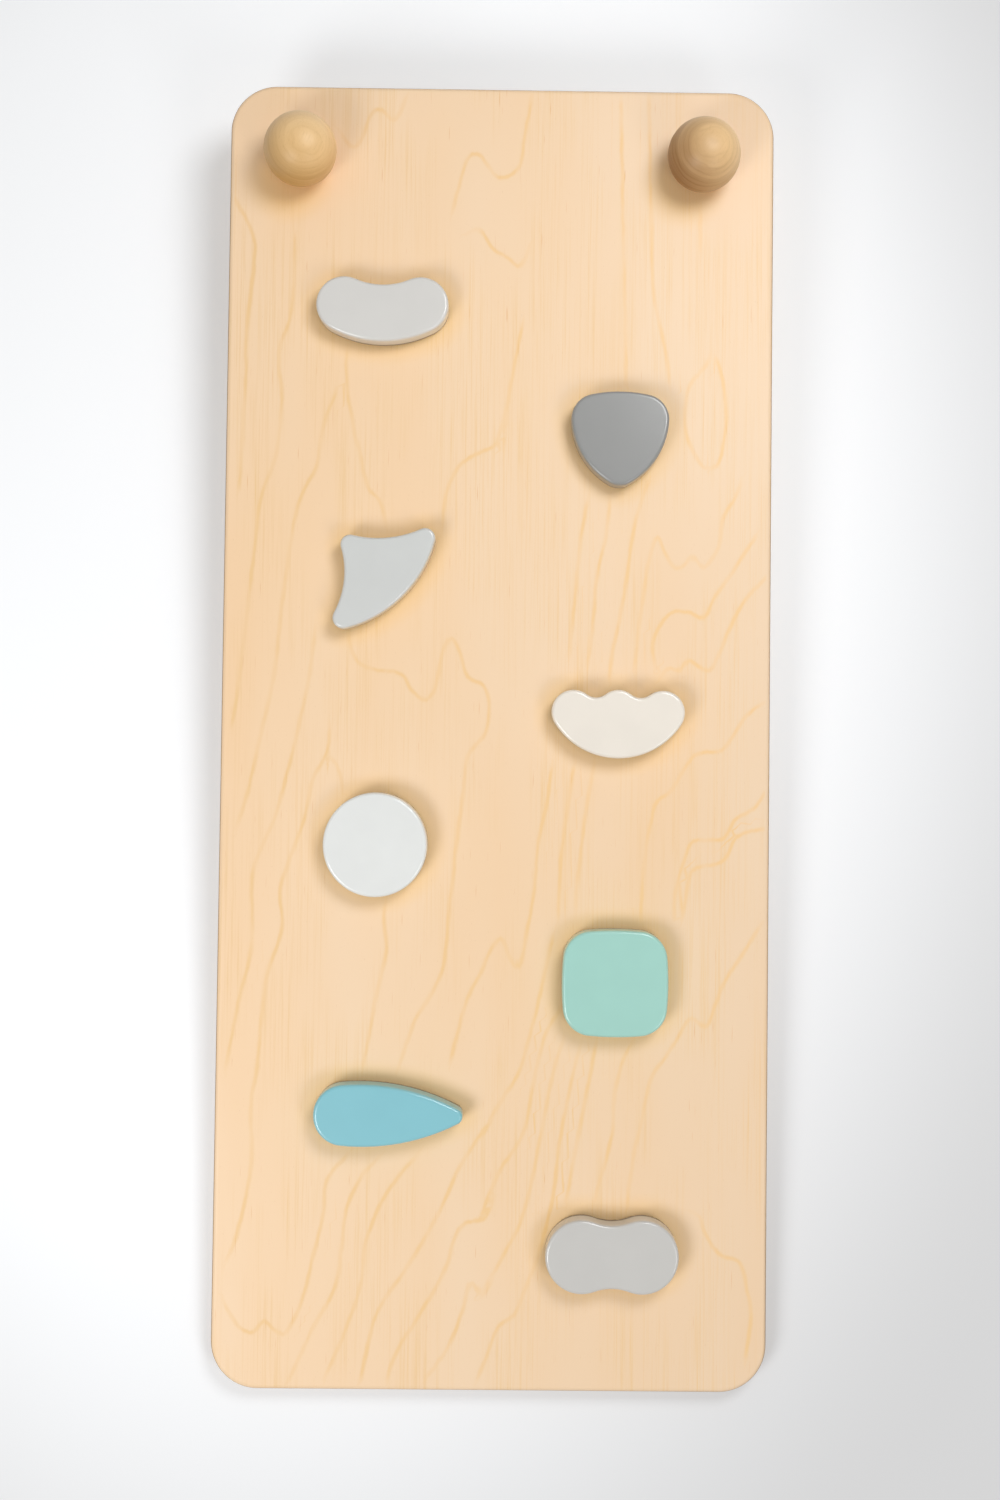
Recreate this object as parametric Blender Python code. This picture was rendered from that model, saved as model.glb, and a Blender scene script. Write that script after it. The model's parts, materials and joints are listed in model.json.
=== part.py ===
"""A child's climbing ramp: a veneered plywood board with eight painted wooden holds on one face.

Two ball knobs stand on each face at the top corners. The pair at the back hooks over a rung of a
climbing frame, and here it lies on the floor and lifts the top end. The board turns over, and then
the plain face is a slide and the other pair of knobs does the hooking.

The holds are screwed on from the back. Each threaded stud runs through the board and carries one
ball at either end, on a brass insert, over a rubber washer.

Everything is modelled in the board's own frame, with X across, Y up the ramp and Z out of the face
with the holds, from the centre of the plywood. One empty then leans that frame on the floor.
"""

import math

import bmesh
import bpy
from mathutils import Vector

# Plywood board
BOARD_WIDTH = 0.460
BOARD_LENGTH = 1.090
BOARD_THICKNESS = 0.018
BOARD_CORNER_RADIUS = 0.039
BOARD_EDGE_RADIUS = 0.004

# Holds, which alternate between a left and a right column, one row to each
HOLD_THICKNESS = 0.0185
HOLD_EDGE_RADIUS = 0.0026
FIRST_ROW_FROM_TOP = 0.1934
LAST_ROW_FROM_FOOT = 0.1147
COLUMN_FROM_SIDE = 0.130

# Countersunk wood screws, driven from the back of the board
SCREW_DIAMETER = 0.0040
SCREW_HEAD_DIAMETER = 0.0080
SCREW_HEAD_LAND = 0.0004
SCREW_HEAD_BELOW_FACE = 0.0003
SCREW_POINT = 0.0035
SCREW_TIP_DIAMETER = 0.0008
SCREW_WALL_IN_FRONT = 0.0060

# Ball knobs, with a flat foot and a blind bore
KNOB_DIAMETER = 0.060
KNOB_FOOT_DIAMETER = 0.030
KNOB_FROM_SIDE = 0.0628
KNOB_FROM_TOP = 0.0648

# Threaded stud, brass insert and rubber washer
STUD_DIAMETER = 0.008
STUD_CHAMFER = 0.0008
STUD_GRIP = 0.0160
INSERT_WALL = 0.0020
INSERT_LENGTH = 0.0180
INSERT_COLLAR_WIDTH = 0.0018
INSERT_COLLAR_THICKNESS = 0.0012
WASHER_DIAMETER = 0.026
WASHER_THICKNESS = 0.0015

# Room left between pieces
SEAT_GAP = 0.0003
RUNNING_GAP = 0.0003
STUD_HOLE_GAP = 0.0005

# Drilled holes, and how far each cutter starts outside the face that it opens
DRILL_POINT_ANGLE = math.radians(118)
CUTTER_OVERRUN = 0.0050

# Smoothness of the curves
CHORD_ERROR = 0.00018
SCREW_SIDES = 12
BORE_SIDES = 24
BALL_SIDES = 28
BALL_RINGS = 11
EDGE_STEPS = 3

# Each hold's outline is a ring of round lobes, listed anticlockwise as (x, y, radius), and the arcs
# that bridge each lobe to the next. A bridge's radius is positive where it bulges and negative where
# it is hollow. "off_row" moves the hold from its place in the row and column grid.
HOLDS = {
    "bean_hold": {
        "column": -1,
        "off_row": (0.0015, -0.0005),
        "lobes": [(-0.0318, 0.0037, 0.0233), (0.0318, 0.0037, 0.0233)],
        "bridges": [0.0920, -0.0570],
        "screws": [(-0.0320, 0.0020), (0.0320, 0.0020)],
        "colour": "D6D5CF",
    },
    "triangle_hold": {
        "column": 1,
        "off_row": (0.0007, 0.0042),
        "lobes": [(-0.0197, 0.0172, 0.0211), (0.0, -0.0214, 0.0170), (0.0197, 0.0172, 0.0211)],
        "bridges": [0.0650, 0.0650, 0.1130],
        "screws": [(-0.0190, 0.0120), (0.0190, 0.0120)],
        "colour": "9D9E9C",
    },
    "fin_hold": {
        "column": -1,
        "off_row": (0.0058, -0.0021),
        "lobes": [(-0.0282, 0.0281, 0.0081), (-0.0330, -0.0330, 0.0090), (0.0338, 0.0340, 0.0084)],
        "bridges": [-0.0720, 0.1030, -0.0875],
        "screws": [(-0.0190, -0.0080), (0.0080, 0.0150)],
        "colour": "D0D3CF",
    },
    "cloud_hold": {
        "column": 1,
        "off_row": (0.0013, -0.0095),
        "lobes": [(-0.0371, 0.0106, 0.0181), (0.0371, 0.0106, 0.0181), (0.0, 0.0126, 0.0165)],
        "bridges": [0.0623, -0.0130, -0.0130],
        "screws": [(-0.0320, 0.0040), (0.0320, 0.0040)],
        "colour": "EEE7DB",
    },
    "round_hold": {
        "column": -1,
        "off_row": (0.0016, 0.0011),
        "lobes": [(0.0, 0.0, 0.0430)],
        "bridges": [],
        "screws": [(-0.0200, 0.0), (0.0200, 0.0)],
        "colour": "E7E9E5",
    },
    "square_hold": {
        "column": 1,
        "off_row": (0.0009, 0.0009),
        "lobes": [
            (-0.0192, 0.0192, 0.0238),
            (-0.0192, -0.0192, 0.0238),
            (0.0192, -0.0192, 0.0238),
            (0.0192, 0.0192, 0.0238),
        ],
        "bridges": [0.2400, 0.2400, 0.2400, 0.2400],
        "screws": [(-0.0200, 0.0), (0.0200, 0.0)],
        "colour": "A6D4C8",
    },
    "drop_hold": {
        "column": -1,
        "off_row": (0.0145, 0.0030),
        "lobes": [(-0.0356, 0.0, 0.0249), (0.0555, -0.0003, 0.0066)],
        "bridges": [0.1745, 0.1745],
        "screws": [(-0.0360, 0.0), (0.0100, 0.0)],
        "colour": "8BC4D0",
    },
    "peanut_hold": {
        "column": 1,
        "off_row": (0.0004, 0.0015),
        "lobes": [(-0.0247, 0.0, 0.0301), (0.0247, 0.0, 0.0301)],
        "bridges": [-0.0408, -0.0408],
        "screws": [(-0.0250, 0.0), (0.0250, 0.0)],
        "colour": "C9C8C3",
    },
}

BALL_COLOUR = "D9B57C"
BOARD_COLOUR = "F2D3A8"
BRASS_COLOUR = "C8A24A"
STEEL_COLOUR = "B9BBBD"
RUBBER_COLOUR = "2B2B2C"

# What follows from the sizes above
FRONT_FACE = BOARD_THICKNESS / 2
ROW_PITCH = (BOARD_LENGTH - FIRST_ROW_FROM_TOP - LAST_ROW_FROM_FOOT) / (len(HOLDS) - 1)
FIRST_ROW = BOARD_LENGTH / 2 - FIRST_ROW_FROM_TOP
COLUMN = BOARD_WIDTH / 2 - COLUMN_FROM_SIDE
KNOB_X = BOARD_WIDTH / 2 - KNOB_FROM_SIDE
KNOB_Y = BOARD_LENGTH / 2 - KNOB_FROM_TOP
KNOB_RADIUS = KNOB_DIAMETER / 2
KNOB_CENTRE_OVER_FOOT = math.sqrt(KNOB_RADIUS**2 - (KNOB_FOOT_DIAMETER / 2) ** 2)
WASHER_SEAT = SEAT_GAP
KNOB_SEAT = WASHER_SEAT + WASHER_THICKNESS + SEAT_GAP
STUD_RADIUS = STUD_DIAMETER / 2
INSERT_BORE_RADIUS = STUD_RADIUS + RUNNING_GAP
INSERT_RADIUS = INSERT_BORE_RADIUS + INSERT_WALL
COLLAR_RADIUS = INSERT_RADIUS + INSERT_COLLAR_WIDTH


def linear_colour(hex_colour):
    """The linear colour that an sRGB hex value stands for, with an alpha of 1."""
    channels = [int(hex_colour[i : i + 2], 16) / 255 for i in (0, 2, 4)]
    return [c / 12.92 if c <= 0.04045 else ((c + 0.055) / 1.055) ** 2.4 for c in channels] + [1.0]


def material(name, hex_colour, roughness, metallic=0.0):
    made = bpy.data.materials.new(name)
    made.use_nodes = True
    shader = made.node_tree.nodes["Principled BSDF"]
    shader.inputs["Base Color"].default_value = linear_colour(hex_colour)
    shader.inputs["Roughness"].default_value = roughness
    shader.inputs["Metallic"].default_value = metallic
    return made


def mesh_object(name, mesh, parent, finish, location=(0, 0, 0)):
    """A named object from a bmesh, smooth but for its corners, placed in its parent's frame."""
    data = bpy.data.meshes.new(name)
    mesh.to_mesh(data)
    mesh.free()
    data.shade_smooth()
    data.set_sharp_from_angle(angle=math.radians(35))
    if finish:
        data.materials.append(finish)
    made = bpy.data.objects.new(name, data)
    bpy.context.scene.collection.objects.link(made)
    made.parent = parent
    made.location = location
    return made


def empty(name, parent=None, location=(0, 0, 0), rotation=(0, 0, 0)):
    made = bpy.data.objects.new(name, None)
    bpy.context.scene.collection.objects.link(made)
    made.parent = parent
    made.location = location
    made.rotation_euler = rotation
    return made


def cut(target, cutter):
    """Takes the cutter's shape out of the target, and keeps the cutter out of the model."""
    cutter.hide_render = True
    cutter.display_type = "WIRE"
    boolean = target.modifiers.new("cut", "BOOLEAN")
    boolean.operation = "DIFFERENCE"
    boolean.solver = "EXACT"
    boolean.object = cutter


def arc(centre, radius, start, sweep, with_end=False):
    """Points along an arc, close enough together to keep within the chord error."""
    widest_step = 2 * math.acos(1 - CHORD_ERROR / radius)
    steps = max(2, math.ceil(abs(sweep) / widest_step))
    count = steps + 1 if with_end else steps
    angles = [start + sweep * i / steps for i in range(count)]
    return [centre + radius * Vector((math.cos(a), math.sin(a))) for a in angles]


def bearing(vector):
    return math.atan2(vector.y, vector.x)


def bridge_centre(first, second, radius):
    """The centre of the arc that touches two lobes, on the inner side where it bulges."""
    (a, radius_a), (b, radius_b) = first, second
    reach_a = abs(radius - radius_a)
    reach_b = abs(radius - radius_b)
    apart = (b - a).length
    along = (apart**2 + reach_a**2 - reach_b**2) / (2 * apart)
    aside = math.sqrt(reach_a**2 - along**2)
    forward = (b - a) / apart
    inward = Vector((-forward.y, forward.x))
    return a + along * forward + math.copysign(aside, radius) * inward


def lobed_outline(lobes, bridges):
    """The closed outline that runs round each lobe and along each bridge, anticlockwise."""
    circles = [(Vector((x, y)), radius) for x, y, radius in lobes]
    if not bridges:
        centre, radius = circles[0]
        return arc(centre, radius, 0, 2 * math.pi)
    following = circles[1:] + circles[:1]
    centres = [bridge_centre(a, b, radius) for a, b, radius in zip(circles, following, bridges)]
    points = []
    for i, (lobe, lobe_radius) in enumerate(circles):
        side_in = math.copysign(1, bridges[i - 1])
        side_out = math.copysign(1, bridges[i])
        start = bearing(side_in * (lobe - centres[i - 1]))
        end = bearing(side_out * (lobe - centres[i]))
        points += arc(lobe, lobe_radius, start, (end - start) % (2 * math.pi))
        leave = bearing(lobe - centres[i])
        meet = bearing(following[i][0] - centres[i])
        sweep = (side_out * (meet - leave)) % (2 * math.pi)
        points += arc(centres[i], abs(bridges[i]), leave, side_out * sweep)
    return points


def rounded_rectangle(width, length, corner_radius):
    """A rectangle about the origin with round corners, anticlockwise."""
    points = []
    for quarter, (across, up) in enumerate([(1, 1), (-1, 1), (-1, -1), (1, -1)]):
        centre = Vector((across * (width / 2 - corner_radius), up * (length / 2 - corner_radius)))
        points += arc(centre, corner_radius, quarter * math.pi / 2, math.pi / 2, with_end=True)
    return points


def rounded_slab(outline, thickness, front_radius, back_radius=0):
    """A slab on Z from 0 to its thickness, with its front edge rounded over and perhaps its back."""
    mesh = bmesh.new()
    back = mesh.faces.new([mesh.verts.new((point.x, point.y, 0)) for point in outline])
    raised = bmesh.ops.extrude_face_region(mesh, geom=[back])
    front = [item for item in raised["geom"] if isinstance(item, bmesh.types.BMVert)]
    bmesh.ops.translate(mesh, verts=front, vec=(0, 0, thickness))
    bmesh.ops.recalc_face_normals(mesh, faces=mesh.faces)
    for height, radius in ((thickness, front_radius), (0, back_radius)):
        rim = [e for e in mesh.edges if all(abs(v.co.z - height) < 1e-6 for v in e.verts)]
        if radius:
            bmesh.ops.bevel(
                mesh, geom=rim, offset=radius, segments=EDGE_STEPS, profile=0.5, affect="EDGES"
            )
    return mesh


def turned(profile, sides, places=((0, 0, 0),), ring=False):
    """A profile of (radius, height) points spun about Z, once at each place."""
    mesh = bmesh.new()
    for place in places:
        points = [mesh.verts.new((radius, 0, height)) for radius, height in profile]
        pairs = list(zip(points, points[1:])) + ([(points[-1], points[0])] if ring else [])
        edges = [mesh.edges.new(pair) for pair in pairs]
        before = set(mesh.verts) - set(points)
        bmesh.ops.spin(
            mesh,
            geom=points + edges,
            axis=(0, 0, 1),
            cent=(0, 0, 0),
            angle=2 * math.pi,
            steps=sides,
            use_merge=True,
        )
        spun = [vert for vert in mesh.verts if vert not in before]
        bmesh.ops.translate(mesh, verts=spun, vec=place)
    bmesh.ops.remove_doubles(mesh, verts=mesh.verts, dist=1e-6)
    bmesh.ops.recalc_face_normals(mesh, faces=mesh.faces)
    return mesh


def screw_profile(length):
    """A countersunk wood screw, head down at height 0."""
    head = SCREW_HEAD_DIAMETER / 2
    shank = SCREW_DIAMETER / 2
    return [
        (0, 0),
        (head, 0),
        (head, SCREW_HEAD_LAND),
        (shank, SCREW_HEAD_LAND + head - shank),
        (shank, length - SCREW_POINT),
        (SCREW_TIP_DIAMETER / 2, length),
        (0, length),
    ]


def screw_hole_profile():
    """The countersunk hole right through the board, from its back face at height 0."""
    head = SCREW_HEAD_DIAMETER / 2 + RUNNING_GAP
    shank = SCREW_DIAMETER / 2 + RUNNING_GAP
    land = SCREW_HEAD_BELOW_FACE + SCREW_HEAD_LAND + RUNNING_GAP
    far = BOARD_THICKNESS + CUTTER_OVERRUN
    return [
        (0, -CUTTER_OVERRUN),
        (head, -CUTTER_OVERRUN),
        (head, land),
        (shank, land + head - shank),
        (shank, far),
        (0, far),
    ]


def blind_hole_profile(radius, depth, mouth_radius=0, mouth_depth=0):
    """A drilled hole that opens at height 0, with a wider mouth where one is given."""
    point = radius / math.tan(DRILL_POINT_ANGLE / 2)
    if mouth_radius:
        entry = [(mouth_radius, -CUTTER_OVERRUN), (mouth_radius, mouth_depth), (radius, mouth_depth)]
    else:
        entry = [(radius, -CUTTER_OVERRUN)]
    return [(0, -CUTTER_OVERRUN), *entry, (radius, depth), (0, depth + point)]


def build_board(frame, screw_places):
    outline = rounded_rectangle(BOARD_WIDTH, BOARD_LENGTH, BOARD_CORNER_RADIUS)
    slab = rounded_slab(outline, BOARD_THICKNESS, BOARD_EDGE_RADIUS, BOARD_EDGE_RADIUS)
    birch = material("birch_plywood", BOARD_COLOUR, 0.45)
    board = mesh_object("board", slab, frame, birch, (0, 0, -FRONT_FACE))

    places = [(x, y, -FRONT_FACE) for x, y in screw_places]
    screw_holes = turned(screw_hole_profile(), SCREW_SIDES, places)
    cut(board, mesh_object("screw_hole_cutter", screw_holes, frame, None))

    radius = STUD_RADIUS + STUD_HOLE_GAP
    reach = BOARD_THICKNESS / 2 + CUTTER_OVERRUN
    stud_hole = [(0, -reach), (radius, -reach), (radius, reach), (0, reach)]
    places = [(side * KNOB_X, KNOB_Y, 0) for side in (-1, 1)]
    cut(board, mesh_object("stud_hole_cutter", turned(stud_hole, BORE_SIDES, places), frame, None))


def hold_place(number, hold):
    """Where a hold's centre lies on the board, by its row, its column and its own offset."""
    across, up = hold["off_row"]
    return hold["column"] * COLUMN + across, FIRST_ROW - number * ROW_PITCH + up


def build_holds(frame):
    """The eight holds with their screws. Returns where the screws stand on the board."""
    steel = material("zinc_plated_steel", STEEL_COLOUR, 0.35, 1.0)
    screw_places = []
    bite = HOLD_THICKNESS - SCREW_WALL_IN_FRONT
    screw_length = BOARD_THICKNESS - SCREW_HEAD_BELOW_FACE + SEAT_GAP + bite
    pilot = blind_hole_profile(SCREW_DIAMETER / 2 + RUNNING_GAP, bite + RUNNING_GAP)
    for number, (name, hold) in enumerate(HOLDS.items()):
        x, y = hold_place(number, hold)
        paint = material(f"{name}_paint", hold["colour"], 0.4)
        outline = lobed_outline(hold["lobes"], hold["bridges"])
        slab = rounded_slab(outline, HOLD_THICKNESS, HOLD_EDGE_RADIUS)
        seat = (x, y, FRONT_FACE + SEAT_GAP)
        piece = mesh_object(name, slab, frame, paint, seat)
        holes = turned(pilot, SCREW_SIDES, [(across, up, 0) for across, up in hold["screws"]])
        cut(piece, mesh_object(f"{name}_pilot_cutter", holes, frame, None, seat))
        for index, (across, up) in enumerate(hold["screws"], start=1):
            place = (x + across, y + up, SCREW_HEAD_BELOW_FACE - FRONT_FACE)
            screw = turned(screw_profile(screw_length), SCREW_SIDES)
            mesh_object(f"{name}_screw_{index}", screw, frame, steel, place)
            screw_places.append((x + across, y + up))
    return screw_places


def ball_profile():
    """From the middle of the flat foot to its rim, and over the ball to its crown."""
    start = math.asin(KNOB_FOOT_DIAMETER / 2 / KNOB_RADIUS)
    angles = [start + (math.pi - start) * ring / BALL_RINGS for ring in range(BALL_RINGS)]
    side = [(KNOB_RADIUS * math.sin(a), KNOB_CENTRE_OVER_FOOT - KNOB_RADIUS * math.cos(a)) for a in angles]
    return [(0, 0), *side, (0, KNOB_CENTRE_OVER_FOOT + KNOB_RADIUS)]


def build_knob(name, frame, across, side, finishes):
    """One ball knob with its insert and washer. Side is 1 on the holds' face and -1 at the back."""
    beech, brass, rubber = finishes
    turn = (0, 0, 0) if side > 0 else (0, math.pi, 0)
    axis = empty(f"{name}_axis", frame, (across * KNOB_X, KNOB_Y, side * FRONT_FACE), turn)

    inner = STUD_RADIUS + STUD_HOLE_GAP
    outer = WASHER_DIAMETER / 2
    flat_ring = [(inner, 0), (outer, 0), (outer, WASHER_THICKNESS), (inner, WASHER_THICKNESS)]
    washer = turned(flat_ring, BORE_SIDES, ring=True)
    mesh_object(f"{name}_washer", washer, axis, rubber, (0, 0, WASHER_SEAT))

    ball = mesh_object(name, turned(ball_profile(), BALL_SIDES), axis, beech, (0, 0, KNOB_SEAT))
    bore = blind_hole_profile(
        INSERT_RADIUS + SEAT_GAP,
        INSERT_LENGTH + SEAT_GAP,
        mouth_radius=COLLAR_RADIUS + SEAT_GAP,
        mouth_depth=INSERT_COLLAR_THICKNESS + SEAT_GAP,
    )
    bore = turned(bore, BORE_SIDES)
    cut(ball, mesh_object(f"{name}_bore_cutter", bore, axis, None, (0, 0, KNOB_SEAT)))

    sleeve = [
        (INSERT_BORE_RADIUS, 0),
        (COLLAR_RADIUS, 0),
        (COLLAR_RADIUS, INSERT_COLLAR_THICKNESS),
        (INSERT_RADIUS, INSERT_COLLAR_THICKNESS),
        (INSERT_RADIUS, INSERT_LENGTH),
        (INSERT_BORE_RADIUS, INSERT_LENGTH),
    ]
    insert = turned(sleeve, BORE_SIDES, ring=True)
    mesh_object(f"{name}_insert", insert, axis, brass, (0, 0, KNOB_SEAT))


def build_stud(name, frame, across, steel):
    half = BOARD_THICKNESS / 2 + KNOB_SEAT + STUD_GRIP
    tip = STUD_RADIUS - STUD_CHAMFER
    rod = [
        (0, -half),
        (tip, -half),
        (STUD_RADIUS, STUD_CHAMFER - half),
        (STUD_RADIUS, half - STUD_CHAMFER),
        (tip, half),
        (0, half),
    ]
    mesh_object(name, turned(rod, BORE_SIDES), frame, steel, (across * KNOB_X, KNOB_Y, 0))


def lean():
    """How the board lies on the floor: its tilt about X, and the height of its centre.

    The floor touches the rounded back edge at the foot and the two balls at the back, so it is the
    common tangent below two circles in the board's Y and Z.
    """
    edge = Vector((BOARD_EDGE_RADIUS - BOARD_LENGTH / 2, BOARD_EDGE_RADIUS - BOARD_THICKNESS / 2))
    ball = Vector((KNOB_Y, -(BOARD_THICKNESS / 2 + KNOB_SEAT + KNOB_CENTRE_OVER_FOOT)))
    step = ball - edge
    tilt = math.asin((KNOB_RADIUS - BOARD_EDGE_RADIUS) / step.length) - math.atan2(step.y, step.x)
    height = BOARD_EDGE_RADIUS - edge.x * math.sin(tilt) - edge.y * math.cos(tilt)
    return tilt, height


def main():
    for old in list(bpy.data.objects):
        bpy.data.objects.remove(old)

    tilt, height = lean()
    frame = empty("ramp", None, (0, 0, height), (tilt, 0, 0))
    screw_places = build_holds(frame)
    build_board(frame, screw_places)

    finishes = (
        material("beech", BALL_COLOUR, 0.4),
        material("brass", BRASS_COLOUR, 0.3, 1.0),
        material("rubber", RUBBER_COLOUR, 0.8),
    )
    stud_steel = material("threaded_rod_steel", STEEL_COLOUR, 0.35, 1.0)
    for side_name, across in (("left", -1), ("right", 1)):
        build_knob(f"front_{side_name}_knob", frame, across, 1, finishes)
        build_knob(f"rear_{side_name}_knob", frame, across, -1, finishes)
        build_stud(f"{side_name}_stud", frame, across, stud_steel)


main()
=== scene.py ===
# A child's climbing ramp, seen from above on a pale floor.
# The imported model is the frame, and each piece here is modelled in the board's own frame, with X
# across, Y up the ramp and Z out of the face with the holds, and then leaned with the board.
import json
import math

import bmesh
import bpy
import numpy as np
from mathutils import Matrix, Vector


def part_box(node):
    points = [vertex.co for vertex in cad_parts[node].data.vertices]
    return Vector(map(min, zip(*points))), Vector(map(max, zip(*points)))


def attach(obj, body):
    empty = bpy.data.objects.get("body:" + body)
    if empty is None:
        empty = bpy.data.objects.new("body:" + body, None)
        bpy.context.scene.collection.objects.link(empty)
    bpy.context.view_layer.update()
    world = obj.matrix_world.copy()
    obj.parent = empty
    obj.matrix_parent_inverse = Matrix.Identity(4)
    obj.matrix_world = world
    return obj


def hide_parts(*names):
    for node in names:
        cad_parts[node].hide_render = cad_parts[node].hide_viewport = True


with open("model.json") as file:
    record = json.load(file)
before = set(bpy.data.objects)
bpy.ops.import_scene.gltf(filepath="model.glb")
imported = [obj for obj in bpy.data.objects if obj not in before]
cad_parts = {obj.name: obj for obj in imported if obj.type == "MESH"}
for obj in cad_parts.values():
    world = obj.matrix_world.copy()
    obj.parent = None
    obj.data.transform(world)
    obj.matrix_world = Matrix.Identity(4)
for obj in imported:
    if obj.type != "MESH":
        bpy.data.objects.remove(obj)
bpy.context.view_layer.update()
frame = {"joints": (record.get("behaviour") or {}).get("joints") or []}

millimetre = 0.001
sharpAngle = 35  # degrees, past which an edge is shaded sharp

# How the board lies: the lift joint runs square to its face, and its box is centred on the plywood
boardNormal = Vector(frame["joints"][0]["axis"])
tilt = math.atan2(-boardNormal.y, boardNormal.z)
height = sum(corner.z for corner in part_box("board")) / 2
lean = Matrix.Translation((0, 0, height)) @ Matrix.Rotation(tilt, 4, "X")


def linearColour(hexColour):
    channels = [int(hexColour[i : i + 2], 16) / 255 for i in (0, 2, 4)]
    return [c / 12.92 if c <= 0.04045 else ((c + 0.055) / 1.055) ** 2.4 for c in channels] + [1.0]


def addNode(tree, kind, *values, **settings):
    # Adds a node with its settings and fills its open inputs in order. A value is a number, a vector, a
    # hex colour, another node or one of its outputs, or a dictionary of inputs by their names.
    node = tree.nodes.new(kind)
    for name, setting in settings.items():
        setattr(node, name, setting)
    sockets = [socket for socket in node.inputs if socket.enabled]
    pairs = []
    for i, value in enumerate(values):
        if isinstance(value, dict):
            pairs += [(node.inputs[name], item) for name, item in value.items()]
        else:
            pairs.append((sockets[i], value))
    for socket, value in pairs:
        if isinstance(value, bpy.types.Node):
            value = next(output for output in value.outputs if output.enabled)
        if isinstance(value, bpy.types.NodeSocket):
            tree.links.new(value, socket)
        elif value is not None:
            socket.default_value = linearColour(value) if isinstance(value, str) else value
    return node


def newMaterial(name):
    material = bpy.data.materials.new(name)
    material.use_nodes = True
    return material, material.node_tree, material.node_tree.nodes["Principled BSDF"]


def connect(tree, shader, **inputs):
    # Links what a pattern makes to the shader: baseColor to Base Color, and so on
    for name, node in inputs.items():
        words = "".join(" " + c if c.isupper() else c for c in name).title()
        tree.links.new(next(output for output in node.outputs if output.enabled), shader.inputs[words])


def boardPlace(tree):
    # Object coordinates turned back into the board's own frame, in millimetres
    coords = addNode(tree, "ShaderNodeTexCoord").outputs["Object"]
    turned = {"Location": (0, 0, height), "Rotation": (tilt, 0, 0), "Scale": (millimetre,) * 3}
    return addNode(tree, "ShaderNodeMapping", coords, turned, vector_type="TEXTURE")


def patternNoise(tree, place, size, detail=2.0, roughness=0.5, seed=0):
    # Noise whose lumps have this size, in millimetres, along each axis; 0 leaves an axis out. Another
    # seed takes another part of the noise.
    scale = [1 / side if side else 0 for side in size]
    spot = addNode(tree, "ShaderNodeMapping", place, (17.3 * seed, 5.1 * seed, 2.7 * seed), (0, 0, 0), scale)
    return addNode(tree, "ShaderNodeTexNoise", spot, 1.0, detail, roughness)


def seenByCamera(tree):
    # 1 for what the camera sees, straight, in a reflection or through glass, and 0 for the light itself
    path = addNode(tree, "ShaderNodeLightPath").outputs
    seen = addNode(tree, "ShaderNodeMath", path["Is Camera Ray"], path["Is Glossy Ray"], operation="MAXIMUM")
    return addNode(tree, "ShaderNodeMath", seen, path["Is Transmission Ray"], operation="MAXIMUM")


def arcPoints(centre, radius, start, sweep, side=1, withEnd=False, chord=0.00004):
    # Points along an arc, each with the outward direction there; side is -1 along a hollow
    steps = max(3, math.ceil(abs(sweep) / (2 * math.acos(1 - chord / radius))))
    points = []
    for i in range(steps + 1 if withEnd else steps):
        direction = Vector((math.cos(start + sweep * i / steps), math.sin(start + sweep * i / steps)))
        points.append((centre + radius * direction, side * direction))
    return points


def roundedRectangle(width, length, radius):
    points = []
    for quarter, (across, up) in enumerate([(1, 1), (-1, 1), (-1, -1), (1, -1)]):
        centre = Vector((across * (width / 2 - radius), up * (length / 2 - radius)))
        points += arcPoints(centre, radius, quarter * math.pi / 2, math.pi / 2, withEnd=True)
    return points


def roundedSlab(outline, thickness, topRadius, bottomRadius, steps):
    # A slab whose edges are rounded over, with a narrow flat ring inside each round for clean shading
    flat = 0.0003
    quarter = [math.pi / 2 * i / steps for i in range(steps + 1)]
    path = [(bottomRadius + flat, 0.0)]
    path += [(bottomRadius * (1 - math.sin(a)), bottomRadius * (1 - math.cos(a))) for a in quarter]
    path += [(topRadius * (1 - math.cos(a)), thickness - topRadius * (1 - math.sin(a))) for a in quarter]
    path += [(topRadius + flat, thickness)]
    mesh = bmesh.new()
    rings = []
    for inset, level in path:
        inside = [point - inset * outward for point, outward in outline]
        rings.append([mesh.verts.new((x, y, level)) for x, y in inside])
    count = len(outline)
    for lower, upper in zip(rings, rings[1:]):
        for i in range(count):
            j = (i + 1) % count
            mesh.faces.new((lower[i], lower[j], upper[j], upper[i]))
    mesh.faces.new(rings[0][::-1])
    mesh.faces.new(rings[-1])
    return mesh


def turnedMesh(profile, sides, places=(Matrix(),), ring=False):
    # Spins a profile of (radius, height) points about Z, once at each place
    mesh = bmesh.new()
    for place in places:
        rings = []
        for radius, level in profile:
            angles = [2 * math.pi * i / sides for i in range(sides)] if radius else [0]
            spots = [Vector((radius * math.cos(a), radius * math.sin(a), level)) for a in angles]
            rings.append([mesh.verts.new(place @ spot) for spot in spots])
        for lower, upper in list(zip(rings, rings[1:])) + ([(rings[-1], rings[0])] if ring else []):
            for i in range(sides):
                j = i + 1
                corners = [lower[i % len(lower)], lower[j % len(lower)]]
                corners += [upper[j % len(upper)], upper[i % len(upper)]]
                mesh.faces.new(dict.fromkeys(corners))
    return mesh


def cutThread(mesh, radius, depth, pitch, start, end):
    # A right-hand thread: points on that radius sink by up to the depth, and fade in at both ends
    for vert in mesh.verts:
        x, y, level = vert.co
        if math.hypot(x, y) < radius - 1e-6 or not start < level < end:
            continue
        phase = (level / pitch - math.atan2(y, x) / (2 * math.pi)) % 1
        sink = depth * min(1, max(0, 1.5 - 4 * abs(phase - 0.5)))
        fade = min(1, (level - start) / pitch, (end - level) / pitch)
        vert.co.xy *= (radius - sink * fade) / radius


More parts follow.
